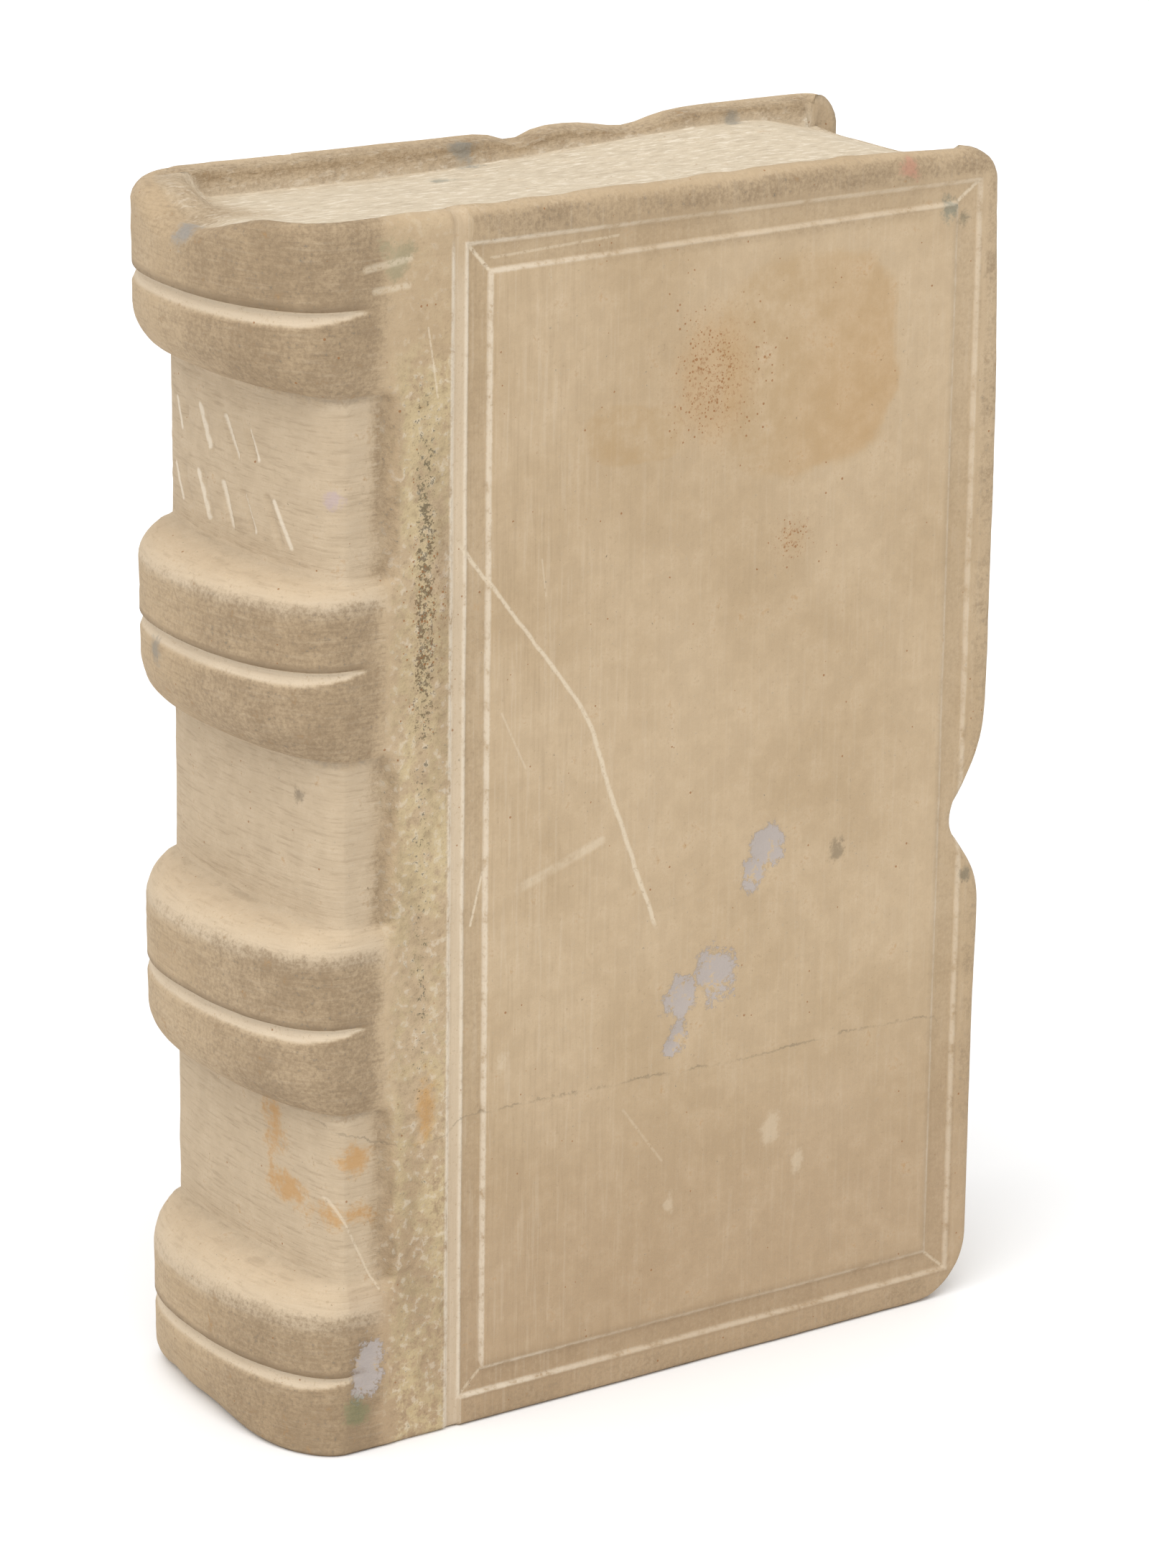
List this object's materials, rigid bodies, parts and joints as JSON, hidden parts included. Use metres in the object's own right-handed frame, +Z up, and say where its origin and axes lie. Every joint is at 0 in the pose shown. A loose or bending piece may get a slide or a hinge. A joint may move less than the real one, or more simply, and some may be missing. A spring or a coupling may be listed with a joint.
{
  "type": "stone book carving",
  "caption": "Closed book carved in the round from a limestone block, standing upright, with raised spine bands, framed covers and a hollow fore edge.",
  "frame": {"origin": "middle of the underside, on the surface that the book stands on", "axes": "+Z up the spine from tail to head, -X out of the round spine, +X out of the fore edge, -Y out of the front board"},
  "size_m": [0.0893, 0.0348, 0.1258],
  "materials": {
    "stone": "matt, dry, worn limestone"
  },
  "bodies": {
    "root": {"stone_bible": "stone"}
  },
  "joints": []
}
